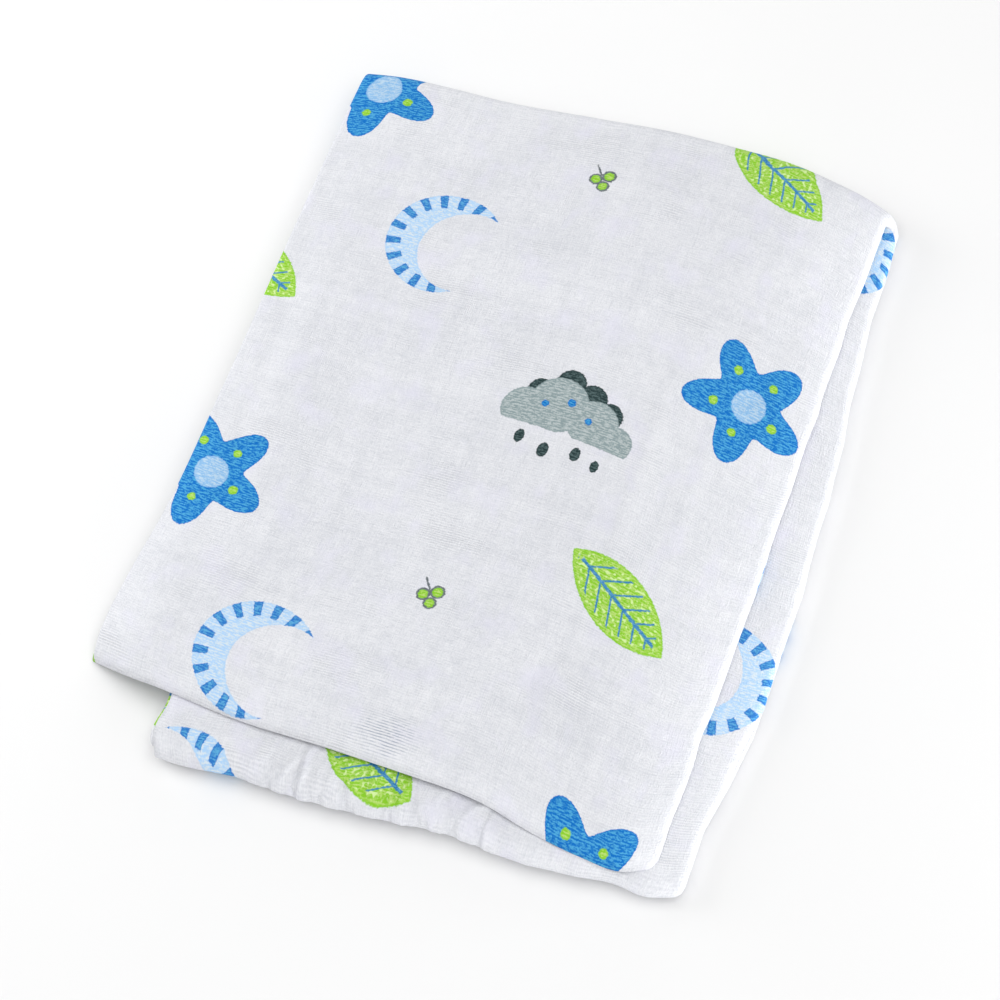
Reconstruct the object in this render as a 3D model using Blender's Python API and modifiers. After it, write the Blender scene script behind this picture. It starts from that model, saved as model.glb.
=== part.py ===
"""Folded swaddle blanket: one square of thin cloth, folded in quarters across its width and
then back and forth in thirds along its length. Metres, +Z up, far end along +Y."""

import math
from collections import namedtuple

import bmesh
import bpy

OBJECT_NAME = "folded_swaddle_blanket"
CLOTH_NODE = "folded_blanket"

# Cloth
CLOTH_THICKNESS = 0.00105
PLY_PITCH = 0.0025
SECTION_GAP = 0.0010
FOLDED_WIDTH = 0.300

# Plies of one section, counted from the outer face of the lowest one.
OUTER_RADIUS = 1.5 * PLY_PITCH
INNER_RADIUS = 0.5 * PLY_PITCH
BEND_RADIUS = (4.0 * PLY_PITCH + SECTION_GAP) / 2.0
BEND_REACH = BEND_RADIUS + OUTER_RADIUS + CLOTH_THICKNESS / 2.0
SECTION_RISE = 2.0 * BEND_RADIUS
LOWEST_MIDDLE = CLOTH_THICKNESS / 2.0 + OUTER_RADIUS

# Grid of the flat cloth
PLY_STEPS = 10
EDGE_CROWDING = 0.09
BIG_FOLD_STEPS = 6
SMALL_FOLD_STEPS = 4
SECTION_STEPS = 13
BEND_STEPS = 7

# Softening of the stack towards its edges
LEFT_DROP = 0.16
LEFT_DROP_WIDTH = 0.022
RIGHT_DROP_WIDTH = 0.040
END_DROP = 0.22
END_DROP_WIDTH = 0.030
ROLL_HEIGHT = 0.018
ROLL_LENGTH = 0.170
ROLL_SLANT = 0.6

# The top section sags where it hangs over the left-hand side, and its plies lie closer together
# towards its right-hand edge and its free edge.
FLAP_SAG = 8.5
FLAP_SQUEEZE = 0.16
FLAP_SQUEEZE_WIDTH = 0.018
FREE_EDGE_SQUEEZE = 0.38
FREE_EDGE_SQUEEZE_WIDTH = 0.035
HANG_FADE = 0.020
FAR_FADE = 0.040
FLAP_UNDERSIDE = LOWEST_MIDDLE + SECTION_RISE + OUTER_RADIUS

# Side edges of the two lower sections, from the near end to the far end
SideRow = namedtuple("SideRow", "y left right")
LOWER_SIDES = (
    SideRow(-0.200, -0.1335, 0.1350),
    SideRow(-0.188, -0.1375, 0.1376),
    SideRow(-0.172, -0.1352, 0.1388),
    SideRow(-0.150, -0.1372, 0.1412),
    SideRow(-0.110, -0.1400, 0.1494),
    SideRow(-0.060, -0.1425, 0.1518),
    SideRow(0.030, -0.1465, 0.1535),
    SideRow(0.110, -0.1495, 0.1497),
    SideRow(0.200, -0.1515, 0.1505),
)

# Side edges of the top section
FLAP_SIDES = (
    SideRow(-0.190, -0.1810, 0.1215),
    SideRow(-0.160, -0.1814, 0.1235),
    SideRow(-0.135, -0.1803, 0.1252),
    SideRow(-0.110, -0.1765, 0.1268),
    SideRow(-0.080, -0.1708, 0.1285),
    SideRow(0.000, -0.1635, 0.1325),
    SideRow(0.100, -0.1575, 0.1365),
    SideRow(0.200, -0.1515, 0.1430),
)

# Ends across the width: the far bend, the near bend and the free edge of the top section
EndRow = namedtuple("EndRow", "x far near flap_end")
ENDS = (
    EndRow(-0.150, 0.2048, -0.1990, -0.1582),
    EndRow(-0.130, 0.2074, -0.1996, -0.1642),
    EndRow(-0.105, 0.2083, -0.1975, -0.1677),
    EndRow(-0.070, 0.2087, -0.1989, -0.1722),
    EndRow(-0.020, 0.2135, -0.1977, -0.1737),
    EndRow(0.020, 0.2172, -0.1953, -0.1752),
    EndRow(0.060, 0.2175, -0.1985, -0.1782),
    EndRow(0.090, 0.2167, -0.1974, -0.1857),
    EndRow(0.115, 0.2128, -0.1953, -0.1897),
    EndRow(0.135, 0.2086, -0.1965, -0.1907),
    EndRow(0.150, 0.2036, -0.1920, -0.1842),
)

# Soft bulges of the right-hand edges
BulgeRow = namedtuple("BulgeRow", "y length push")
BULGES = (
    BulgeRow(-0.160, 0.012, -0.0015),
    BulgeRow(-0.114, 0.010, -0.0031),
    BulgeRow(-0.024, 0.014, 0.0012),
    BulgeRow(0.003, 0.014, -0.0009),
    BulgeRow(0.030, 0.010, 0.0008),
    BulgeRow(0.074, 0.009, 0.0023),
    BulgeRow(0.112, 0.012, 0.0014),
    BulgeRow(0.133, 0.012, -0.0016),
    BulgeRow(0.162, 0.014, 0.0008),
)
FLAP_BULGE_SHARE = 0.4

# Share of the height that is lost at the right-hand edge, from the near end to the far end
DropRow = namedtuple("DropRow", "y right")
DROPS = (
    DropRow(-0.200, 0.44),
    DropRow(-0.160, 0.51),
    DropRow(-0.110, 0.50),
    DropRow(-0.050, 0.46),
    DropRow(0.030, 0.44),
    DropRow(0.110, 0.44),
    DropRow(0.200, 0.36),
)

# How far each ply stops short of the ends and of the left-hand edge
PlyRow = namedtuple("PlyRow", "name offset flap_short far_short side_short")
PLIES = (
    PlyRow("lowest", -OUTER_RADIUS, 0.0120, 0.0020, 0.0020),
    PlyRow("second", -INNER_RADIUS, 0.0085, 0.0050, 0.0050),
    PlyRow("third", INNER_RADIUS, 0.0050, 0.0035, 0.0),
    PlyRow("top", OUTER_RADIUS, 0.0, 0.0065, 0.0),
)


def smooth(t):
    """Eases from 0 to 1 as t goes from 0 to 1."""
    t = min(max(t, 0.0), 1.0)
    return t * t * (3.0 - 2.0 * t)


def read_table(rows, key, at, column):
    """Value of a column between the rows of a table, eased from row to row."""
    places = [getattr(row, key) for row in rows]
    values = [getattr(row, column) for row in rows]
    if at <= places[0]:
        return values[0]
    for low, high, start, end in zip(places, places[1:], values, values[1:]):
        if at <= high:
            t = (at - low) / (high - low)
            return start + (end - start) * (t + smooth(t)) / 2.0
    return values[-1]


def ply_value(offset, column):
    return read_table(PLIES, "offset", offset, column)


def folded_across():
    """Stations of the quarter fold: distance across the width and height in the section."""
    half = FOLDED_WIDTH / 2.0
    left = -half + INNER_RADIUS
    right = half - OUTER_RADIUS
    lowest, second, third, top = PLIES

    def run(ply, hem):
        """One ply from left to right, with its stations closer together near both edges."""
        for i in range(PLY_STEPS + 1):
            share = i / PLY_STEPS
            share -= EDGE_CROWDING * math.sin(2.0 * math.pi * share)
            yield max(left + (right - left) * share, hem), ply.offset

    def turn(middle_x, middle_height, radius, side, steps, upward):
        for i in range(1, steps):
            angle = math.pi * (i / steps - 0.5) * upward
            across = middle_x + side * radius * math.cos(angle)
            yield across, middle_height + radius * math.sin(angle)

    stations = list(run(lowest, -half + lowest.side_short))
    stations += turn(right, 0.0, OUTER_RADIUS, 1.0, BIG_FOLD_STEPS, 1.0)
    stations += reversed(list(run(top, left)))
    stations += turn(left, PLY_PITCH, INNER_RADIUS, -1.0, SMALL_FOLD_STEPS, -1.0)
    stations += run(third, left)
    stations += turn(right, 0.0, INNER_RADIUS, 1.0, SMALL_FOLD_STEPS, -1.0)
    stations += reversed(list(run(second, -half + second.side_short)))
    return stations


Station = namedtuple("Station", "share reach middle facing_y facing_z flap")


def folded_along():
    """Stations of the back-and-forth fold, from the free end under the stack to the flap."""
    stations = []
    for section in range(3):
        facing = 1.0 if section % 2 == 0 else -1.0
        middle = LOWEST_MIDDLE + section * SECTION_RISE
        for i in range(SECTION_STEPS + 1):
            share = i / SECTION_STEPS
            if facing > 0.0:
                share = 1.0 - share
            flap = 1.0 if section == 2 else 0.0
            stations.append(Station(share, 0.0, middle, 0.0, facing, flap))
        if section == 2:
            break
        outward = -1.0 if section == 0 else 1.0
        for i in range(1, BEND_STEPS):
            angle = math.pi * i / BEND_STEPS
            reach = outward * BEND_RADIUS * math.sin(angle)
            height = middle + BEND_RADIUS * (1.0 - math.cos(angle))
            # The offset points at the bend's middle for one bend, and away from it for the other.
            facing_y = -outward * facing * math.sin(angle)
            facing_z = facing * math.cos(angle)
            flap = 0.0 if section == 0 else smooth(i / BEND_STEPS)
            share = 0.0 if section == 0 else 1.0
            stations.append(Station(share, reach, height, facing_y, facing_z, flap))
    return stations


def edge_softness(x, y, left, right, near, far):
    """Share of the full height that the stack keeps at a place."""
    side = LEFT_DROP * math.exp(-max(x - left, 0.0) / LEFT_DROP_WIDTH)
    right_drop = read_table(DROPS, "y", y, "right")
    side += right_drop * math.exp(-max(right - x, 0.0) / RIGHT_DROP_WIDTH)
    from_end = max(min(y - near, far - y), 0.0)
    kept = 1.0 - math.hypot(side, END_DROP * math.exp(-from_end / END_DROP_WIDTH))
    roll = math.sin(2.0 * math.pi * (x + ROLL_SLANT * y) / ROLL_LENGTH)
    return kept * (1.0 + ROLL_HEIGHT * roll)


def squeezed(z, from_right, from_free_edge):
    """Height in the top section once its plies are pressed together near its edges."""
    right = FLAP_SQUEEZE * math.exp(-max(from_right, 0.0) / FLAP_SQUEEZE_WIDTH)
    free_edge = math.exp(-max(from_free_edge, 0.0) / FREE_EDGE_SQUEEZE_WIDTH)
    pressed = math.hypot(right, FREE_EDGE_SQUEEZE * free_edge)
    return z - max(z - FLAP_UNDERSIDE, 0.0) * pressed


def folded_point(across, station):
    """Place of one corner of the flat grid in the folded cloth."""
    width_at, offset = across
    fraction = width_at / FOLDED_WIDTH + 0.5
    near = read_table(ENDS, "x", width_at, "near")
    far = read_table(ENDS, "x", width_at, "far")
    near_middle = near + BEND_REACH
    far_middle = far - BEND_REACH
    flap_end = read_table(ENDS, "x", width_at, "flap_end") + ply_value(offset, "flap_short")
    start = near_middle + (flap_end - near_middle) * station.flap
    # Only the free end below the stack stops short at the far side.
    end = far_middle
    if station.middle < LOWEST_MIDDLE + BEND_RADIUS and station.facing_z > 0.0:
        end = far - ply_value(offset, "far_short") - SECTION_GAP
    y = start + (end - start) * station.share + station.reach
    y += station.facing_y * offset
    z = station.middle + station.facing_z * offset

    lower_left = read_table(LOWER_SIDES, "y", y, "left")
    lower_right = read_table(LOWER_SIDES, "y", y, "right")
    flap_left = read_table(FLAP_SIDES, "y", y, "left")
    flap_right = read_table(FLAP_SIDES, "y", y, "right")
    left = lower_left + (flap_left - lower_left) * station.flap
    right = lower_right + (flap_right - lower_right) * station.flap
    bulge = sum(row.push * math.exp(-(((y - row.y) / row.length) ** 2)) for row in BULGES)
    right += bulge * (1.0 + (FLAP_BULGE_SHARE - 1.0) * station.flap)
    x = left + (right - left) * fraction

    if station.flap > 0.0:
        resting = 1.0 - min(max(lower_left - x, 0.0) / HANG_FADE, 1.0)
        resting *= min(max(far - y, 0.0) / FAR_FADE, 1.0)
        pressed_z = squeezed(z, right - x, y - flap_end)
        z += (pressed_z - z) * station.flap * resting
    kept = edge_softness(x, y, lower_left, lower_right, near, far)
    z = CLOTH_THICKNESS / 2.0 + (z - CLOTH_THICKNESS / 2.0) * kept
    overhang = max(lower_left - x, 0.0) * station.flap
    z -= FLAP_SAG * overhang * overhang
    return x, y, z


def make_cloth():
    across = folded_across()
    along = folded_along()
    shape = bmesh.new()
    bmesh.ops.create_grid(
        shape, x_segments=len(across) - 1, y_segments=len(along) - 1, size=0.5
    )
    for vert in shape.verts:
        column = round((vert.co.x + 0.5) * (len(across) - 1))
        row = round((vert.co.y + 0.5) * (len(along) - 1))
        vert.co = folded_point(across[column], along[row])
    mesh = bpy.data.meshes.new(CLOTH_NODE)
    shape.to_mesh(mesh)
    shape.free()
    return bpy.data.objects.new(CLOTH_NODE, mesh)


def stand_on_origin(cloth):
    """Moves the mesh so that the middle of its underside is the origin."""
    bpy.context.view_layer.update()
    solid = cloth.evaluated_get(bpy.context.evaluated_depsgraph_get())
    corners = [vert.co for vert in solid.data.vertices]
    low = [min(corner[axis] for corner in corners) for axis in range(3)]
    high = [max(corner[axis] for corner in corners) for axis in range(3)]
    shift = ((low[0] + high[0]) / 2.0, (low[1] + high[1]) / 2.0, low[2])
    for vert in cloth.data.vertices:
        vert.co.x -= shift[0]
        vert.co.y -= shift[1]
        vert.co.z -= shift[2]


def muslin():
    material = bpy.data.materials.new("muslin")
    material.use_nodes = True
    cloth = material.node_tree.nodes["Principled BSDF"]
    cloth.inputs["Base Color"].default_value = (0.86, 0.87, 0.90, 1.0)
    cloth.inputs["Roughness"].default_value = 0.9
    cloth.inputs["Metallic"].default_value = 0.0
    return material


for old in list(bpy.data.objects):
    bpy.data.objects.remove(old)

collection = bpy.data.collections.new(OBJECT_NAME)
bpy.context.scene.collection.children.link(collection)

blanket = make_cloth()
collection.objects.link(blanket)
blanket.data.materials.append(muslin())

thickness = blanket.modifiers.new("cloth thickness", "SOLIDIFY")
thickness.thickness = CLOTH_THICKNESS
thickness.offset = 0.0
thickness.use_rim = True
stand_on_origin(blanket)
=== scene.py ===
"""Folded swaddle blanket: one square of printed cotton muslin, folded into a flat stack."""

import math
from collections import namedtuple

import bpy
import numpy as np
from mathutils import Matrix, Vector


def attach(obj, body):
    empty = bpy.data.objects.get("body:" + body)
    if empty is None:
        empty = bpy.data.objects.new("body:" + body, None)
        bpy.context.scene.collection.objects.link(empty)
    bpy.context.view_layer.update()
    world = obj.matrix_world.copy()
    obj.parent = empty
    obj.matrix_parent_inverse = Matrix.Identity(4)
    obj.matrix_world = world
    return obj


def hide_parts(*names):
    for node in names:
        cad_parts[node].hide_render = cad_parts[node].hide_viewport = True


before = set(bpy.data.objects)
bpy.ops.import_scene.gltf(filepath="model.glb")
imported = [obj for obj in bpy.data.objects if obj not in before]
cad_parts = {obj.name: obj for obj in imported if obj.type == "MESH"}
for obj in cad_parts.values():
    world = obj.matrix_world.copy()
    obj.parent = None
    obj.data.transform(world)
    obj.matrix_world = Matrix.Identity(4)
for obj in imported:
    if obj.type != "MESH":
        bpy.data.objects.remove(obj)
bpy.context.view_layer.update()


# The surface that the blanket lies on, with the camera above its near right-hand side. A broad
# soft light hangs overhead, low strips graze the right-hand and near sides, and two more lights
# and the white room around fill the shadows. Sizes are in metres all through.

CAMERA_AZIMUTH = math.radians(17.0)
CAMERA_HEIGHT = math.radians(66.0)
CAMERA_DISTANCE = 1.56
CAMERA_LENS = 108.0
SENSOR_WIDTH = 36.0
LOOKED_AT = Vector((0.00402, -0.02077, 0.0))
ROOM_WHITE = (1.0, 1.0, 1.0, 1.0)
ROOM_STRENGTH = 0.35
FLOOR_HALF_SIDE = 6.0
FLOOR_DROP = 0.0004
FLOOR_WHITE = (0.82, 0.82, 0.82, 1.0)
FLOOR_ROUGHNESS = 0.9

back = Vector((
    math.sin(CAMERA_AZIMUTH) * math.cos(CAMERA_HEIGHT),
    -math.cos(CAMERA_AZIMUTH) * math.cos(CAMERA_HEIGHT),
    math.sin(CAMERA_HEIGHT),
))
camera = bpy.data.objects.new("camera", bpy.data.cameras.new("camera"))
camera.data.lens = CAMERA_LENS
camera.data.sensor_width = SENSOR_WIDTH
camera.location = LOOKED_AT + back * CAMERA_DISTANCE
camera.rotation_euler = back.to_track_quat("Z", "Y").to_euler()
bpy.context.scene.collection.objects.link(camera)
bpy.context.scene.camera = camera


def studio_light(name, place, width, height, watts):
    """A soft light that faces the middle of the surface."""
    light = bpy.data.lights.new(name, "AREA")
    light.shape = "ELLIPSE"
    light.size = width
    light.size_y = height
    light.energy = watts
    lamp = bpy.data.objects.new(name, light)
    lamp.location = place
    lamp.rotation_euler = Vector(place).to_track_quat("Z", "Y").to_euler()
    bpy.context.scene.collection.objects.link(lamp)


studio_light("overhead_light", place=(0.0, 0.0, 1.8), width=2.6, height=2.6, watts=27.5)
studio_light("right_strip", place=(0.86, 0.02, 0.045), width=0.6, height=0.07, watts=6.3)
studio_light("near_strip", place=(0.42, -0.90, 0.050), width=0.7, height=0.07, watts=3.4)
studio_light("left_light", place=(-1.25, 0.02, 0.60), width=1.0, height=1.0, watts=9.4)
studio_light("far_light", place=(-0.10, 1.42, 0.65), width=1.0, height=1.0, watts=2.9)

room = bpy.data.worlds.new("white room")
room.use_nodes = True
room_light = room.node_tree.nodes["Background"]
room_light.inputs["Color"].default_value = ROOM_WHITE
room_light.inputs["Strength"].default_value = ROOM_STRENGTH
bpy.context.scene.world = room
bpy.context.scene.view_settings.view_transform = "Standard"

floor_paint = bpy.data.materials.new("floor paint")
floor_paint.use_nodes = True
floor_shader = floor_paint.node_tree.nodes["Principled BSDF"]
floor_shader.inputs["Base Color"].default_value = FLOOR_WHITE
floor_shader.inputs["Roughness"].default_value = FLOOR_ROUGHNESS
floor_corners = [
    (FLOOR_HALF_SIDE * side_x, FLOOR_HALF_SIDE * side_y, 0.0)
    for side_x, side_y in ((-1.0, -1.0), (1.0, -1.0), (1.0, 1.0), (-1.0, 1.0))
]
floor_mesh = bpy.data.meshes.new("floor")
floor_mesh.from_pydata(floor_corners, [], [(0, 1, 2, 3)])
floor_mesh.materials.append(floor_paint)
floor = bpy.data.objects.new("floor", floor_mesh)
floor.location.z = -FLOOR_DROP
bpy.context.scene.collection.objects.link(floor)


# The cloth: a 1.2 m square of plain-weave cotton muslin, hemmed all round. It is folded in quarters
# across, with the big fold on the right, and then back and forth in thirds, so the top third is a
# loose flap that lies a little askew and hangs over the left-hand side.

# LAYER_PITCH is the rise from one layer to the next, and SECTION_GAP the extra room between two
# sections. RESTING is the height of the lowest cloth's middle, as in the solid, and STACK_MIDDLE
# the place of the folds that comes to lie in the middle of the frame.
CLOTH_SIDE = 1.20
CLOTH_THICKNESS = 0.0009
SOLID_THICKNESS = 0.00105
LAYER_PITCH = 0.0025
SECTION_GAP = 0.0010
SECTION_LENGTH = 0.39
FOLDED_WIDTH = 0.300
OUTER_RADIUS = 1.5 * LAYER_PITCH
INNER_RADIUS = 0.5 * LAYER_PITCH
BEND_RADIUS = (4.0 * LAYER_PITCH + SECTION_GAP) / 2.0
RESTING = SOLID_THICKNESS / 2.0
BEND_REACH = BEND_RADIUS + OUTER_RADIUS + RESTING
LOWEST_MIDDLE = RESTING + OUTER_RADIUS
STACK_MIDDLE = (-0.01374379, 0.00895303)

# Where the side edges lie, of the two lower sections and of the flap on top of them.
SideRow = namedtuple("SideRow", "y left right")
LOWER_SIDES = (
    SideRow(-0.200, -0.1335, 0.1350),
    SideRow(-0.188, -0.1375, 0.1376),
    SideRow(-0.172, -0.1352, 0.1388),
    SideRow(-0.150, -0.1372, 0.1412),
    SideRow(-0.110, -0.1400, 0.1494),
    SideRow(-0.060, -0.1425, 0.1518),
    SideRow(0.030, -0.1465, 0.1535),
    SideRow(0.110, -0.1495, 0.1497),
    SideRow(0.200, -0.1515, 0.1505),
)
FLAP_SIDES = (
    SideRow(-0.190, -0.1810, 0.1215),
    SideRow(-0.160, -0.1814, 0.1235),
    SideRow(-0.135, -0.1803, 0.1252),
    SideRow(-0.110, -0.1765, 0.1268),
    SideRow(-0.080, -0.1708, 0.1285),
    SideRow(0.000, -0.1635, 0.1325),
    SideRow(0.100, -0.1575, 0.1365),
    SideRow(0.200, -0.1515, 0.1430),
)

# Where the far bend, the near bend and the free edge of the flap lie.
EndRow = namedtuple("EndRow", "x far near flap_end")
ENDS = (
    EndRow(-0.150, 0.2048, -0.1990, -0.1582),
    EndRow(-0.130, 0.2074, -0.1996, -0.1642),
    EndRow(-0.105, 0.2083, -0.1975, -0.1677),
    EndRow(-0.070, 0.2087, -0.1989, -0.1722),
    EndRow(-0.020, 0.2135, -0.1977, -0.1737),
    EndRow(0.020, 0.2172, -0.1953, -0.1752),
    EndRow(0.060, 0.2175, -0.1985, -0.1782),
    EndRow(0.090, 0.2167, -0.1974, -0.1857),
    EndRow(0.115, 0.2128, -0.1953, -0.1897),
    EndRow(0.135, 0.2086, -0.1965, -0.1907),
    EndRow(0.150, 0.2036, -0.1920, -0.1842),
)

# How far the free edge stands off the strip below it.
LiftRow = namedtuple("LiftRow", "x height")
FREE_EDGE_LIFTS = (
    LiftRow(-0.150, 0.0000),
    LiftRow(-0.110, 0.0003),
    LiftRow(-0.070, 0.0010),
    LiftRow(-0.035, 0.0023),
    LiftRow(0.000, 0.0020),
    LiftRow(0.035, 0.0024),
    LiftRow(0.065, 0.0015),
    LiftRow(0.095, 0.0003),
    LiftRow(0.150, 0.0000),
)

# Soft bulges of the right-hand side, and the share of its height that it loses there.
BulgeRow = namedtuple("BulgeRow", "y length push")
BULGES = (
    BulgeRow(-0.160, 0.012, -0.0015),
    BulgeRow(-0.114, 0.010, -0.0031),
    BulgeRow(-0.024, 0.014, 0.0012),
    BulgeRow(0.003, 0.014, -0.0009),
    BulgeRow(0.030, 0.010, 0.0008),
    BulgeRow(0.074, 0.009, 0.0023),
    BulgeRow(0.112, 0.012, 0.0014),
    BulgeRow(0.133, 0.012, -0.0016),
    BulgeRow(0.162, 0.014, 0.0008),
)
FLAP_BULGE_LOSS = 0.6
DropRow = namedtuple("DropRow", "y right")
DROPS = (
    DropRow(-0.200, 0.44),
    DropRow(-0.160, 0.51),
    DropRow(-0.110, 0.50),
    DropRow(-0.050, 0.46),
    DropRow(0.030, 0.44),
    DropRow(0.110, 0.44),
    DropRow(0.200, 0.36),
)

# The four layers of a section, and how far each stops short at the flap's end, at the far end
# under the stack and at the left-hand side.
LayerRow = namedtuple("LayerRow", "name offset flap_short far_short side_short")
LAYERS = (
    LayerRow("lowest", -OUTER_RADIUS, 0.0120, 0.0020, 0.0020),
    LayerRow("second", -INNER_RADIUS, 0.0085, 0.0050, 0.0050),
    LayerRow("third", INNER_RADIUS, 0.0050, 0.0035, 0.0),
    LayerRow("top", OUTER_RADIUS, 0.0, 0.0065, 0.0),
)

# Steps of the sheet's grid, coarse where the cloth is hidden. The lowest layer turns outermost
# round the near bend, so its steps are finest between the two places where that is crinkled.
CRINKLED_LEFT, CRINKLED_RIGHT = -0.095, 0.050
LOWEST_STEPS_LEFT, LOWEST_STEPS_CRINKLED, LOWEST_STEPS_RIGHT = 11, 121, 33
HIDDEN_STEPS = 14
TOP_STEPS = 84
OUTER_TURN_STEPS = 12
INNER_TURN_STEPS = 6
BEND_STEPS = 16
LOWER_SHARES = np.linspace(1.0, 0.0, 15)
MIDDLE_SHARES = np.concatenate([np.linspace(0.0, 0.09, 19), np.linspace(0.12, 1.0, 14)])
FLAP_SHARES = np.concatenate([np.linspace(1.0, 0.94, 8), np.linspace(0.925, 0.0, 72)])


def eased(t):
    t = np.clip(t, 0.0, 1.0)
    return t * t * (3.0 - 2.0 * t)


def flowing(rows, key, at, column):
    """A column of a table as a smooth curve through its rows."""
    place = np.array([getattr(row, key) for row in rows])
    value = np.array([getattr(row, column) for row in rows])
    slope = np.gradient(value, place)
    at = np.clip(at, place[0], place[-1])
    low = np.clip(np.searchsorted(place, at) - 1, 0, len(place) - 2)
    span = place[low + 1] - place[low]
    t = (at - place[low]) / span
    start = value[low] * (1.0 + 2.0 * t) + slope[low] * span * t
    end = value[low + 1] * (3.0 - 2.0 * t) - slope[low + 1] * span * (1.0 - t)
    return start * (1.0 - t) ** 2 + end * t**2


def folded_across():
    """Columns of the quarter fold: distance across the width, and height in the section."""
    left = -FOLDED_WIDTH / 2.0
    inner_left, right = left + INNER_RADIUS, -left - OUTER_RADIUS
    lowest, second, third, top = LAYERS

    def run(layer, start, end, steps):
        across = np.linspace(start, end, steps + 1)
        return np.stack([across, np.full_like(across, layer.offset)], 1)

    def turn(middle, height, radius, side, steps, upward):
        angle = math.pi * (np.arange(1, steps) / steps - 0.5) * upward
        return np.stack(
            [middle + side * radius * np.cos(angle), height + radius * np.sin(angle)], 1
        )

    return np.concatenate([
        run(lowest, left + lowest.side_short, CRINKLED_LEFT, LOWEST_STEPS_LEFT)[:-1],
        run(lowest, CRINKLED_LEFT, CRINKLED_RIGHT, LOWEST_STEPS_CRINKLED)[:-1],
        run(lowest, CRINKLED_RIGHT, right, LOWEST_STEPS_RIGHT),
        turn(right, 0.0, OUTER_RADIUS, 1.0, OUTER_TURN_STEPS, 1.0),
        run(top, right, inner_left, TOP_STEPS),
        turn(inner_left, LAYER_PITCH, INNER_RADIUS, -1.0, INNER_TURN_STEPS, -1.0),
        run(third, inner_left, right, HIDDEN_STEPS),
        turn(right, 0.0, INNER_RADIUS, 1.0, INNER_TURN_STEPS, -1.0),
        run(second, right, left + second.side_short, HIDDEN_STEPS),
    ])


def folded_along():
    """Rows of the back-and-forth fold, from the free end under the stack to the flap's end.

    A row has its share of the section's length, its reach round a bend, the height of the
    section's middle, the way that the cloth faces along y and z, and how far it is flap.
    """
    rows = []
    for section, shares in enumerate((LOWER_SHARES, MIDDLE_SHARES, FLAP_SHARES)):
        facing = 1.0 - 2.0 * (section % 2)
        middle = LOWEST_MIDDLE + section * 2.0 * BEND_RADIUS
        rows += [(share, 0.0, middle, 0.0, facing, float(section == 2)) for share in shares]
        if section == 2:
            break
        outward = -1.0 if section == 0 else 1.0
        for step in range(1, BEND_STEPS):
            angle = math.pi * step / BEND_STEPS
            rows.append((
                float(section == 1),
                outward * BEND_RADIUS * math.sin(angle),
                middle + BEND_RADIUS * (1.0 - math.cos(angle)),
                -outward * facing * math.sin(angle),
                facing * math.cos(angle),
                float(eased(step / BEND_STEPS)) * section,
            ))
    return np.array(rows)


quarter_fold = folded_across()
third_fold = folded_along()
width_at, offset = (column[None, :] for column in quarter_fold.T)
share, reach, middle, facing_y, facing_z, flap = (column[:, None] for column in third_fold.T)

near = flowing(ENDS, "x", width_at, "near")
far = flowing(ENDS, "x", width_at, "far")
by_layer = [layer.offset for layer in LAYERS]
flap_end_top = flowing(ENDS, "x", width_at, "flap_end")
flap_end = flap_end_top + np.interp(offset, by_layer, [layer.flap_short for layer in LAYERS])
far_short = np.interp(offset, by_layer, [layer.far_short for layer in LAYERS])
start = near + BEND_REACH + (flap_end - near - BEND_REACH) * flap
underneath = (middle < LOWEST_MIDDLE + BEND_RADIUS) & (facing_z > 0.0)
end = np.where(underneath, far - far_short - SECTION_GAP, far - BEND_REACH)
y = start + (end - start) * share + reach + facing_y * offset
z = middle + facing_z * offset

lower_left = flowing(LOWER_SIDES, "y", y, "left")
lower_right = flowing(LOWER_SIDES, "y", y, "right")
left = lower_left + (flowing(FLAP_SIDES, "y", y, "left") - lower_left) * flap
right = lower_right + (flowing(FLAP_SIDES, "y", y, "right") - lower_right) * flap
bulge = sum(row.push * np.exp(-(((y - row.y) / row.length) ** 2)) for row in BULGES)
right = right + bulge * (1.0 - FLAP_BULGE_LOSS * flap)
x = left + (right - left) * (width_at / FOLDED_WIDTH + 0.5)

# At its free end the flap sinks a little, and each of its layers comes down on those that reach
# under it. The edge stands off the strip in its middle, where the strip has a slight hollow.
RESTING_RUN = 0.005
FREE_EDGE_SINK, FREE_EDGE_SINK_WIDTH = 0.0013, 0.030
LIFT_WIDTH = 0.020
HOLLOW_SHARE, HOLLOW_BEYOND, HOLLOW_WIDTH = 0.40, 0.002, 0.010
from_free_edge = np.maximum(y - flap_end_top, 0.0)
for layer in LAYERS:
    missing = 1.0 - eased((from_free_edge - layer.flap_short) / RESTING_RUN + 1.0)
    above = np.clip((offset - layer.offset) / LAYER_PITCH, 0.0, 1.0)
    z = z - LAYER_PITCH * missing * above * flap
z = z - FREE_EDGE_SINK * (1.0 - eased(from_free_edge / FREE_EDGE_SINK_WIDTH)) * flap
lift = flowing(FREE_EDGE_LIFTS, "x", width_at, "height")
z = z + lift * np.exp(-from_free_edge / LIFT_WIDTH) * flap
outwards = np.clip((OUTER_RADIUS - offset) / (2.0 * OUTER_RADIUS), 0.0, 1.0)
hollow = np.exp(-(((y - flap_end_top - HOLLOW_BEYOND) / HOLLOW_WIDTH) ** 2)) * outwards
z = z - HOLLOW_SHARE * lift * hollow * np.clip(-facing_z, 0.0, 1.0)

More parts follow.
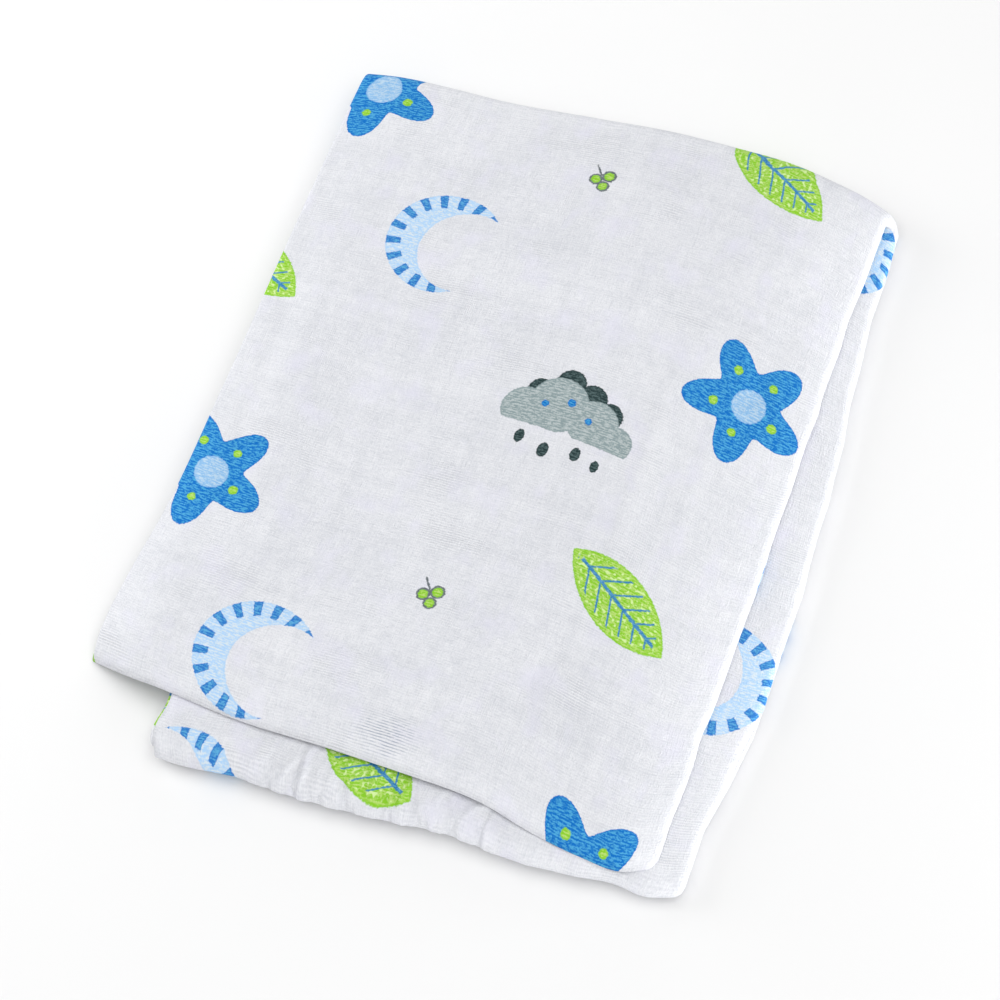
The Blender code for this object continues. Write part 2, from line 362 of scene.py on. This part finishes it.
# The flap's layers lie closer together at its right-hand side and at its free end, as far as
# something holds them up from below.
FLAP_UNDERSIDE = LOWEST_MIDDLE + 2.0 * BEND_RADIUS + OUTER_RADIUS
FLAP_SQUEEZE, FLAP_SQUEEZE_WIDTH = 0.16, 0.018
FREE_EDGE_SQUEEZE, FREE_EDGE_SQUEEZE_WIDTH = 0.38, 0.035
HANG_FADE, FAR_FADE = 0.020, 0.040
STACK_TOP = LOWEST_MIDDLE + 4.0 * BEND_RADIUS + OUTER_RADIUS
squeeze = np.hypot(
    FLAP_SQUEEZE * np.exp(-np.maximum(right - x, 0.0) / FLAP_SQUEEZE_WIDTH),
    FREE_EDGE_SQUEEZE * np.exp(-from_free_edge / FREE_EDGE_SQUEEZE_WIDTH),
)
held_up = 1.0 - np.clip((lower_left - x) / HANG_FADE, 0.0, 1.0)
held_up = held_up * np.clip((far - y) / FAR_FADE, 0.0, 1.0)
height_share = z / STACK_TOP
z = z - np.maximum(z - FLAP_UNDERSIDE, 0.0) * squeeze * flap * held_up

# The stack is softer towards its edges, above all on the right, where it slopes down to the
# surface. It rolls slightly all over, and the flap sags where nothing is under it.
LEFT_DROP, LEFT_DROP_WIDTH = 0.16, 0.022
RIGHT_DROP_WIDTH = 0.040
END_DROP, END_DROP_WIDTH = 0.22, 0.030
ROLL_SHARE, ROLL_LENGTH, ROLL_SLANT = 0.018, 0.170, 0.6
FLAP_SAG = 8.5
left_drop = LEFT_DROP * np.exp(-np.maximum(x - lower_left, 0.0) / LEFT_DROP_WIDTH)
right_drop = flowing(DROPS, "y", y, "right")
right_drop = right_drop * np.exp(-np.maximum(lower_right - x, 0.0) / RIGHT_DROP_WIDTH)
from_end = np.maximum(np.minimum(y - near, far - y), 0.0)
end_drop = END_DROP * np.exp(-from_end / END_DROP_WIDTH)
roll = ROLL_SHARE * np.sin(2.0 * math.pi * (x + ROLL_SLANT * y) / ROLL_LENGTH)
kept = (1.0 - np.hypot(left_drop + right_drop, end_drop)) * (1.0 + roll)
z = RESTING + (z - RESTING) * kept
overhang = np.maximum(lower_left - x, 0.0) * flap
z = z - FLAP_SAG * overhang**2

# Soft creases that were pressed into the stack, listed one by one: the height is negative in a
# trough and positive on a ridge. They fade out below, and each one bows a little.
CREASE_BOW = 0.10
CreaseRow = namedtuple("CreaseRow", "x y turn length width height")
CREASES = (
    CreaseRow(-0.118, -0.058, 74.0, 0.030, 0.0050, -0.0007),
    CreaseRow(0.042, -0.108, 62.0, 0.036, 0.0045, -0.0006),
    CreaseRow(-0.060, 0.120, 92.0, 0.120, 0.0090, 0.0005),
    CreaseRow(0.060, 0.030, 88.0, 0.160, 0.0100, 0.0004),
    CreaseRow(-0.010, -0.060, 4.0, 0.140, 0.0100, 0.0005),
    CreaseRow(0.015, 0.150, 178.0, 0.120, 0.0080, -0.0005),
    CreaseRow(0.105, 0.090, 80.0, 0.080, 0.0070, -0.0006),
    CreaseRow(-0.135, 0.050, 97.0, 0.090, 0.0080, 0.0006),
)
pressed = np.zeros_like(z)
for row in CREASES:
    cos, sin = math.cos(math.radians(row.turn)), math.sin(math.radians(row.turn))
    on = (x - row.x) * cos + (y - row.y) * sin
    off = (y - row.y) * cos - (x - row.x) * sin
    off = off + CREASE_BOW * on**2 / row.length
    fade = np.exp(-((2.0 * on / row.length) ** 4))
    pressed = pressed + row.height * fade * np.exp(-((off / row.width) ** 2))
z = z + pressed * height_share

# Puckers along the near bend, where the outer layers were pushed together: each one is a soft
# ridge that starts on the bend and dies away on top. Positive ones stand out, negative ones dip.
PUCKER_LAST_FACING, PUCKER_FADE = 0.35, 0.70
PuckerRow = namedtuple("PuckerRow", "x width lean reach height")
PUCKERS = (
    PuckerRow(-0.1260, 0.0045, 0.10, 0.014, 0.0006),
    PuckerRow(-0.1120, 0.0036, -0.10, 0.012, -0.0005),
    PuckerRow(-0.0990, 0.0043, 0.20, 0.016, 0.0007),
    PuckerRow(-0.0880, 0.0021, 0.45, 0.012, -0.0008),
    PuckerRow(-0.0835, 0.0015, 0.60, 0.011, 0.0012),
    PuckerRow(-0.0800, 0.0026, 0.52, 0.019, 0.0014),
    PuckerRow(-0.0762, 0.0013, 0.10, 0.014, 0.0014),
    PuckerRow(-0.0735, 0.0016, 0.68, 0.022, -0.0012),
    PuckerRow(-0.0705, 0.0014, -0.40, 0.013, 0.0012),
    PuckerRow(-0.0670, 0.0025, 0.38, 0.023, 0.0017),
    PuckerRow(-0.0640, 0.0013, 0.70, 0.014, -0.0010),
    PuckerRow(-0.0600, 0.0015, 0.08, 0.036, -0.0019),
    PuckerRow(-0.0572, 0.0014, 0.30, 0.016, 0.0017),
    PuckerRow(-0.0540, 0.0026, -0.08, 0.019, 0.0020),
    PuckerRow(-0.0505, 0.0013, -0.50, 0.011, -0.0010),
    PuckerRow(-0.0470, 0.0018, 0.22, 0.016, -0.0016),
    PuckerRow(-0.0438, 0.0015, 0.55, 0.014, 0.0012),
    PuckerRow(-0.0405, 0.0025, 0.30, 0.022, 0.0017),
    PuckerRow(-0.0368, 0.0013, -0.20, 0.014, 0.0014),
    PuckerRow(-0.0330, 0.0017, -0.22, 0.017, -0.0017),
    PuckerRow(-0.0298, 0.0014, 0.45, 0.011, -0.0010),
    PuckerRow(-0.0265, 0.0021, -0.15, 0.013, 0.0016),
    PuckerRow(-0.0225, 0.0015, -0.35, 0.014, 0.0014),
    PuckerRow(-0.0190, 0.0029, 0.15, 0.019, 0.0014),
    PuckerRow(-0.0152, 0.0013, 0.30, 0.013, -0.0014),
    PuckerRow(-0.0110, 0.0016, 0.30, 0.022, -0.0017),
    PuckerRow(-0.0078, 0.0014, -0.45, 0.014, 0.0012),
    PuckerRow(-0.0040, 0.0026, 0.08, 0.017, 0.0023),
    PuckerRow(0.0000, 0.0013, 0.50, 0.011, 0.0010),
    PuckerRow(0.0040, 0.0017, -0.30, 0.019, -0.0019),
    PuckerRow(0.0078, 0.0015, -0.30, 0.014, -0.0014),
    PuckerRow(0.0115, 0.0025, 0.15, 0.023, 0.0020),
    PuckerRow(0.0152, 0.0014, 0.20, 0.014, 0.0017),
    PuckerRow(0.0190, 0.0020, 0.60, 0.022, -0.0014),
    PuckerRow(0.0228, 0.0013, -0.40, 0.013, -0.0010),
    PuckerRow(0.0265, 0.0030, 0.45, 0.025, 0.0018),
    PuckerRow(0.0310, 0.0015, 0.35, 0.014, 0.0014),
    PuckerRow(0.0350, 0.0018, 0.15, 0.017, -0.0019),
    PuckerRow(0.0392, 0.0014, -0.30, 0.011, 0.0014),
    PuckerRow(0.0430, 0.0026, -0.38, 0.019, 0.0014),
    PuckerRow(0.0520, 0.0027, -0.30, 0.024, -0.0012),
    PuckerRow(0.0610, 0.0040, 0.10, 0.018, 0.0012),
    PuckerRow(0.0730, 0.0032, 0.20, 0.016, -0.0007),
    PuckerRow(0.0860, 0.0045, -0.10, 0.014, 0.0008),
    PuckerRow(0.1000, 0.0041, 0.15, 0.014, -0.0007),
    PuckerRow(0.1180, 0.0054, 0.10, 0.016, 0.0007),
)
from_near = np.maximum(y - near, 0.0)
puckered = np.zeros_like(z)
for row in PUCKERS:
    off = x - row.x - row.lean * from_near
    puckered = puckered + row.height * np.exp(-((off / row.width) ** 2) - from_near / row.reach)
puckered = puckered * np.clip((PUCKER_LAST_FACING - facing_z) / PUCKER_FADE, 0.0, 1.0)
puckered = puckered * outwards * (1.0 - flap)
y = y - facing_y * puckered
z = z - facing_z * puckered


def flat_distance(steps):
    """Distance along the flat cloth, from its first edge to its last."""
    run = np.concatenate([[0.0], np.cumsum(np.hypot(*np.diff(steps, axis=0).T))])
    return run * CLOTH_SIDE / run[-1]


# The sheet is the grid of those columns and rows, with its flat places kept as its flat map. Its
# outer side is printed, and its inner side and its edges aren't.
PLAIN_SIDE = 1
corners = np.stack([x - STACK_MIDDLE[0], y - STACK_MIDDLE[1], z], 2)
rows, columns = corners.shape[:2]
first = (np.arange(rows - 1)[:, None] * columns + np.arange(columns - 1)).ravel()
faces = np.stack([first, first + 1, first + columns + 1, first + columns], 1)
cloth_mesh = bpy.data.meshes.new("muslin_cloth")
cloth_mesh.from_pydata(corners.reshape(-1, 3), [], faces)
cloth_mesh.shade_smooth()
drawn_out = np.stack([share[:, 0] * SECTION_LENGTH + reach[:, 0], middle[:, 0]], 1)
flat_x, flat_y = flat_distance(quarter_fold), flat_distance(drawn_out)
flat = np.stack(np.broadcast_arrays(flat_x[None, :], flat_y[:, None]), 2).reshape(-1, 2)
flat_map = cloth_mesh.uv_layers.new(name="flat cloth")
flat_map.data.foreach_set("uv", flat[faces.ravel()].astype(np.float32).ravel())
cloth = bpy.data.objects.new("muslin_cloth", cloth_mesh)
bpy.context.scene.collection.objects.link(cloth)
thickness = cloth.modifiers.new("cloth thickness", "SOLIDIFY")
thickness.thickness = CLOTH_THICKNESS
thickness.offset = 0.0
thickness.material_offset = PLAIN_SIDE
thickness.material_offset_rim = PLAIN_SIDE


class Wire:
    """A value that runs through a material's nodes, so that sums can be written plainly."""

    def __init__(self, tree, socket=None):
        self.tree, self.socket = tree, socket

    def node(self, kind, settings, **sockets):
        """Adds a node, its settings first and then its sockets, and gives its first output."""
        made = self.tree.nodes.new(kind)
        for name, value in settings.items():
            setattr(made, name, value)
        self.fill(made, **sockets)
        return Wire(self.tree, made.outputs[0])

    def fill(self, node, **sockets):
        """Gives a node's sockets their values or wires; _0 is its first socket."""
        for name, value in sockets.items():
            key = int(name[1:]) if name[0] == "_" else name.replace("_", " ")
            if isinstance(value, Wire):
                self.tree.links.new(value.socket, node.inputs[key])
            else:
                node.inputs[key].default_value = value

    def output(self, which):
        """Another output of the node that this wire starts from."""
        return Wire(self.tree, self.socket.node.outputs[which])

    def maths(self, operation, *others, clamped=False):
        """A Math node whose first value is this wire."""
        inputs = {f"_{i}": value for i, value in enumerate((self, *others))}
        settings = {"operation": operation, "use_clamp": clamped}
        return self.node("ShaderNodeMath", settings, **inputs)

    def maths_after(self, operation, value):
        """A Math node with a plain number before this wire."""
        return self.node("ShaderNodeMath", {"operation": operation}, _0=value, _1=self)

    def __add__(self, other): return self.maths("ADD", other)
    def __radd__(self, other): return self.maths_after("ADD", other)
    def __sub__(self, other): return self.maths("SUBTRACT", other)
    def __rsub__(self, other): return self.maths_after("SUBTRACT", other)
    def __mul__(self, other): return self.maths("MULTIPLY", other)
    def __rmul__(self, other): return self.maths_after("MULTIPLY", other)
    def __truediv__(self, other): return self.maths("DIVIDE", other)
    def __rtruediv__(self, other): return self.maths_after("DIVIDE", other)
    def __pow__(self, other): return self.maths("POWER", other)
    def __rpow__(self, other): return self.maths_after("POWER", other)
    def __abs__(self): return self.maths("ABSOLUTE")
    def __neg__(self): return self.maths_after("SUBTRACT", 0.0)
    def smaller(self, other): return self.maths("MINIMUM", other)
    def larger(self, other): return self.maths("MAXIMUM", other)
    def clamp(self): return self.maths("ADD", 0.0, clamped=True)
    def sin(self): return self.maths("SINE")
    def part(self): return self.maths("FRACT")


def length_of(x, y):
    return (x * x + y * y).maths("SQRT")


def speckle(across, along, row):
    """Soft noise from 0 to 1, with one size across the cloth and one along it."""
    x, y = across / row.across_size, along / row.along_size
    spot = across.node("ShaderNodeCombineXYZ", {}, X=x, Y=y, Z=row.seed)
    return across.node(
        "ShaderNodeTexNoise", {"noise_dimensions": "3D"},
        Vector=spot, Scale=1.0, Detail=row.detail, Roughness=row.rough,
    )


def tint(below, above, amount):
    """One colour laid over another."""
    return amount.node(
        "ShaderNodeMix", {"data_type": "RGBA"}, _0=amount, _6=below, _7=above
    ).output(2)


def ink(red, green, blue):
    """A colour given as it looks on paper, from 0 to 255."""
    parts = [part / 255.0 for part in (red, green, blue)]
    linear = [
        part / 12.92 if part <= 0.04045 else ((part + 0.055) / 1.055) ** 2.4 for part in parts
    ]
    return (*linear, 1.0)


# The weave: fine slubby threads both ways, a little uneven, with open patches where single picks
# show as lines, thicker ends that run on as faint bands, and one small patch of pulled threads
# near the free edge.

WARP_PITCH = 0.00104
WEFT_PITCH = 0.00138
THREAD_WANDER = 11.0
PULLED_ACROSS, PULLED_ALONG = 0.448, 1.185
PULLED_HALF_WIDTH, PULLED_HALF_LENGTH = 0.019, 0.013
SpeckleRow = namedtuple("SpeckleRow", "across_size along_size detail rough seed")
WANDER_ACROSS = SpeckleRow(0.010, 0.030, 2.0, 0.5, 1.5)
WANDER_ALONG = SpeckleRow(0.030, 0.010, 2.0, 0.5, 4.5)
WARP_SLUBS = SpeckleRow(0.0008, 0.007, 2.0, 0.5, 7.0)
WEFT_SLUBS = SpeckleRow(0.007, 0.0008, 2.0, 0.5, 9.0)
DASHES = SpeckleRow(0.0032, 0.0010, 1.0, 0.5, 10.0)
GRAIN = SpeckleRow(0.0009, 0.0009, 2.0, 0.5, 11.0)
OPEN_WEFT = SpeckleRow(0.045, 0.028, 2.0, 0.5, 12.0)
OPEN_WARP = SpeckleRow(0.022, 0.060, 2.0, 0.5, 13.0)
PULLED_OUTLINE = SpeckleRow(0.009, 0.006, 1.0, 0.5, 14.0)
WARP_BANDS = SpeckleRow(0.007, 0.30, 2.0, 0.5, 15.0)
WEFT_BANDS = SpeckleRow(0.30, 0.007, 2.0, 0.5, 18.0)
CLOUDS = SpeckleRow(0.035, 0.045, 4.0, 0.65, 21.0)
LILAC_PATCHES = SpeckleRow(0.018, 0.022, 3.0, 0.5, 24.0)
MUSLIN_WHITE = ink(222, 223, 227)
MUSLIN_SHADE = ink(199, 201, 207)
MUSLIN_LILAC = ink(214, 213, 228)
MUSLIN_GAP = ink(158, 164, 178)
MUSLIN_ROUGHNESS = 0.92
MUSLIN_SHINE = 0.12
MUSLIN_FUZZ, FUZZ_ROUGHNESS = 0.04, 0.5
THREAD_RELIEF, THREAD_HEIGHT = 0.5, 0.0004

Weave = namedtuple("Weave", "material across along threads gaps colour")


def woven(name):
    """A new muslin: its material, flat directions, threads, gaps between them, and colour."""
    material = bpy.data.materials.new(name)
    material.use_nodes = True
    flat = Wire(material.node_tree).node("ShaderNodeUVMap", {"uv_map": "flat cloth"})
    across = flat.node("ShaderNodeSeparateXYZ", {}, _0=flat)
    along = across.output(1)

    wander_across = speckle(across, along, WANDER_ACROSS) * THREAD_WANDER
    wander_along = speckle(across, along, WANDER_ALONG) * THREAD_WANDER
    warp = (across * (2.0 * math.pi / WARP_PITCH) + wander_across).sin()
    weft = (along * (2.0 * math.pi / WEFT_PITCH) + wander_along).sin()
    warp_slubs = speckle(across, along, WARP_SLUBS) - 0.5
    weft_slubs = speckle(across, along, WEFT_SLUBS) - 0.5
    dashes = speckle(across, along, DASHES) - 0.5
    grain = speckle(across, along, GRAIN) - 0.5
    open_weft = (speckle(across, along, OPEN_WEFT) * 7.0 - 3.9).clamp()
    open_warp = (speckle(across, along, OPEN_WARP) * 7.0 - 4.2).clamp()
    pulled = length_of(
        (across - PULLED_ACROSS) / PULLED_HALF_WIDTH, (along - PULLED_ALONG) / PULLED_HALF_LENGTH
    )
    pulled = (1.5 - (pulled + speckle(across, along, PULLED_OUTLINE) * 0.9)).clamp()
    picks = weft * (open_weft * 0.42 + pulled * 0.5 + 0.10) + warp * (open_warp * 0.22 + 0.07)
    threads = picks + warp_slubs * 1.1 + weft_slubs * 1.3 + grain * 1.7
    gaps = (weft * 0.22 + dashes * 4.2 + grain * 2.6 + 0.40).clamp()

    bands = speckle(across, along, WARP_BANDS) + speckle(across, along, WEFT_BANDS) - 1.0
    clouds = speckle(across, along, CLOUDS) - 0.5
    lilac = (speckle(across, along, LILAC_PATCHES) * 5.0 - 2.6).clamp()
    tone = 0.46 - threads * 0.90 + bands * 0.55 + clouds * 0.9
    colour = tint(MUSLIN_WHITE, MUSLIN_SHADE, tone.clamp())
    colour = tint(colour, MUSLIN_LILAC, lilac * 0.5)
    broken = (dashes * 5.0 + 0.8).clamp()
    colour = tint(colour, MUSLIN_GAP, (pulled * broken * (-0.15 - weft) * 1.8).clamp())
    return Weave(material, across, along, threads, gaps, colour)


def finished(weave, colour):
    """Gives a muslin its colour and its matt, slightly fuzzy surface with raised threads."""
    relief = weave.threads.node(
        "ShaderNodeBump", {}, Strength=THREAD_RELIEF, Distance=THREAD_HEIGHT, Height=weave.threads
    )
    weave.threads.fill(
        weave.material.node_tree.nodes["Principled BSDF"], Base_Color=colour, Normal=relief,
        Roughness=MUSLIN_ROUGHNESS, Specular_IOR_Level=MUSLIN_SHINE,
        Sheen_Weight=MUSLIN_FUZZ, Sheen_Roughness=FUZZ_ROUGHNESS,
    )
    cloth_mesh.materials.append(weave.material)


# The print: small pictures scattered over the outer side of the cloth, in flat ink. A star, a
# rain cloud, a moon, a leaf and a few berries are charted here in millimetres, in a
# half-drop repeat: every second column of pictures sits half a repeat lower.

REPEAT_ACROSS = 0.252
REPEAT_ALONG = 0.262
MILLIMETRES = 1000.0
BLUE = ink(14, 106, 186)
PALE_BLUE = ink(166, 200, 232)
SKY_BLUE = ink(134, 178, 218)
LIME = ink(132, 192, 44)
PALE_LIME = ink(205, 230, 160)
GREY = ink(134, 150, 152)
CHARCOAL = ink(36, 54, 55)
THREAD_WHITE = 0.75
INK_EDGE = 0.5
INK_RIM = 1.1
RAGGED_INK = SpeckleRow(0.0017, 0.0011, 1.0, 0.5, 30.0)
LEAF_FLECKS = SpeckleRow(0.0019, 0.0019, 0.0, 0.5, 40.0)

printed = woven("printed muslin")
ragged = speckle(printed.across, printed.along, RAGGED_INK) * 1.5 - 0.75
DiscRow = namedtuple("DiscRow", "x y radius")


def placed(across, along, turn):
    """Flat distances from the middle of one picture, turned with it."""
    columns = (printed.across - across) / REPEAT_ACROSS + 0.5
    column = columns.maths("FLOOR")
    x = columns - column - 0.5
    y = ((printed.along - along) / REPEAT_ALONG + column * 0.5 + 0.5).part() - 0.5
    x, y = x * (REPEAT_ACROSS * MILLIMETRES), y * (REPEAT_ALONG * MILLIMETRES)
    cos, sin = math.cos(math.radians(turn)), math.sin(math.radians(turn))
    return x * cos + y * sin, y * cos - x * sin


def disc(x, y, row):
    """The distance to the rim of a disc, negative inside it."""
    return length_of(x - row.x, y - row.y) - row.radius


def all_discs(x, y, rows):
    found = disc(x, y, rows[0])
    for row in rows[1:]:
        found = found.smaller(disc(x, y, row))
    return found


def inside(distance):
    """1 within a shape and 0 outside it, from the distance to its edge."""
    return (0.5 - distance / INK_EDGE).clamp()


def thinned(paint, strength):
    """The same ink where less of it has stayed on the white thread."""
    return (*(THREAD_WHITE * (part / THREAD_WHITE) ** strength for part in paint[:3]), 1.0)


def stamped(colour, paint, edge, strength=1.0, thin=0.46):
    """Ink laid on the threads: full along the rim of a shape, and thin where a gap shows."""
    edge = edge + ragged
    rim = (edge / INK_RIM + 1.0).clamp()
    laid = tint(paint, thinned(paint, thin), printed.gaps * (1.0 - rim))
    return tint(colour, laid, inside(edge) * strength)


# Star
STAR_ARMS, STAR_WAIST, STAR_REACH, ARM_ROUNDNESS = 5.0, 19.0, 16.5, 0.9
STAR_HEART = DiscRow(-1.5, 1.0, 9.5)
STAR_DOTS = (
    DiscRow(18.0, 1.5, 2.6),
    DiscRow(6.5, 17.0, 2.4),
    DiscRow(-15.0, 10.5, 2.7),
    DiscRow(-14.0, -11.5, 2.4),
    DiscRow(5.5, -17.5, 2.6),
)
x, y = placed(across=0.088, along=0.030, turn=14.0)
arms = (y.maths("ARCTAN2", x) * STAR_ARMS).maths("COSINE") * 0.5 + 0.5
star = length_of(x, y) - (arms**ARM_ROUNDNESS * STAR_REACH + STAR_WAIST)
colour = stamped(printed.colour, BLUE, star)
colour = stamped(colour, SKY_BLUE, disc(x, y, STAR_HEART))
colour = stamped(colour, LIME, all_discs(x, y, STAR_DOTS))

# Rain cloud, with a dark one behind it
DARK_PUFFS = (
    DiscRow(-18.0, 10.5, 7.0),
    DiscRow(-4.5, 19.5, 8.0),
    DiscRow(9.0, 14.5, 8.5),
    DiscRow(21.0, 9.0, 7.5),
)
CLOUD_PUFFS = (
    DiscRow(-22.0, -2.0, 12.5),
    DiscRow(-6.0, 5.5, 16.0),
    DiscRow(15.0, 1.5, 13.5),
    DiscRow(29.0, -4.5, 10.0),
)
CLOUD_BASE = -10.0
CLOUD_SPOTS = (
    DiscRow(-13.0, 4.0, 1.9),
    DiscRow(0.0, 9.0, 2.2),
    DiscRow(12.0, 2.0, 1.9),
)
DROP_NARROWNESS = 1.5
RAINDROPS = (
    DiscRow(-27.0, -18.0, 3.9),
    DiscRow(-5.0, -21.5, 4.3),
    DiscRow(20.0, -18.0, 4.1),
    DiscRow(38.0, -20.5, 3.4),
)
DARK_THINNING = 0.6
x, y = placed(across=0.175, along=0.075, turn=176.0)
colour = stamped(colour, CHARCOAL, all_discs(x, y, DARK_PUFFS), thin=DARK_THINNING)
colour = stamped(colour, GREY, all_discs(x, y, CLOUD_PUFFS).larger(CLOUD_BASE - y))
colour = stamped(colour, BLUE, all_discs(x, y, CLOUD_SPOTS))
raindrops = all_discs(x * DROP_NARROWNESS, y, RAINDROPS)
colour = stamped(colour, CHARCOAL, raindrops, thin=DARK_THINNING)

# Moon, with short blue rays along its outer rim
MOON = DiscRow(0.0, 0.0, 31.0)
MOON_BITE = DiscRow(12.5, 4.0, 25.0)
PALE_THINNING = 0.3
RAYS, RAY_PITCH, RAY_HALF_WIDTH, RAYS_BEGIN = 17.0, 13.0, 2.7, 23.0
x, y = placed(across=0.020, along=0.120, turn=150.0)
moon = disc(x, y, MOON).larger(-disc(x, y, MOON_BITE))
colour = stamped(colour, PALE_BLUE, moon, thin=PALE_THINNING)
ray = (y.maths("ARCTAN2", x) * (RAYS / (2.0 * math.pi))).part()
stripe = abs(ray - 0.5) * RAY_PITCH - RAY_HALF_WIDTH
stripe = stripe.larger(RAYS_BEGIN - length_of(x, y)).larger(moon)
colour = stamped(colour, BLUE, stripe, strength=0.94)

# Leaf, with pale flecks, a middle rib and slanting side ribs
LEAF_HALF_WIDTH, LEAF_HALF_LENGTH = 16.5, 35.0
LEAF_RADIUS = (LEAF_HALF_WIDTH**2 + LEAF_HALF_LENGTH**2) / (2.0 * LEAF_HALF_WIDTH)
RIB_HALF_WIDTH, RIB_HALF_LENGTH = 0.9, 28.0
SIDE_RIB_PITCH, SIDE_RIB_SLANT, SIDE_RIB_HALF_WIDTH = 9.0, 0.8, 0.6
FLECK_MARGIN, RIB_MARGIN = 1.5, 3.2
x, y = placed(across=0.115, along=0.160, turn=62.0)
leaf = length_of(abs(x) + (LEAF_RADIUS - LEAF_HALF_WIDTH), y) - LEAF_RADIUS
colour = stamped(colour, LIME, leaf)
flecks = (speckle(printed.across, printed.along, LEAF_FLECKS) * 9.0 - 5.2).clamp()
colour = tint(colour, PALE_LIME, inside(leaf + FLECK_MARGIN) * flecks * 0.9)
rib = (abs(x) - RIB_HALF_WIDTH).larger(abs(y) - RIB_HALF_LENGTH)
side_rib = abs(((y - abs(x) * SIDE_RIB_SLANT) / SIDE_RIB_PITCH).part() - 0.5)
side_rib = (side_rib * SIDE_RIB_PITCH - SIDE_RIB_HALF_WIDTH).larger(leaf + RIB_MARGIN)
colour = stamped(colour, BLUE, rib.smaller(side_rib), strength=0.88)

# Berries on a short stalk, with a dark outline
BERRIES = (
    DiscRow(-3.6, 0.0, 3.2),
    DiscRow(3.6, 0.6, 3.0),
    DiscRow(0.2, 6.0, 2.9),
)
STALK_HALF_WIDTH, STALK_HALF_LENGTH, STALK_SLANT = 0.5, 4.5, 0.25
OUTLINE_OUT, OUTLINE_IN = 0.6, 0.5
x, y = placed(across=0.205, along=0.190, turn=20.0)
berries = all_discs(x, y, BERRIES)
stalk = abs(x + y * STALK_SLANT) - STALK_HALF_WIDTH
stalk = stalk.larger(abs(y + STALK_HALF_LENGTH) - STALK_HALF_LENGTH)
colour = stamped(colour, CHARCOAL, (berries - OUTLINE_OUT).smaller(stalk), strength=0.85)
colour = stamped(colour, LIME, berries + OUTLINE_IN)

plain = woven("unprinted muslin")
finished(printed, colour)
finished(plain, plain.colour)

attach(cloth, "root")
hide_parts("folded_blanket")
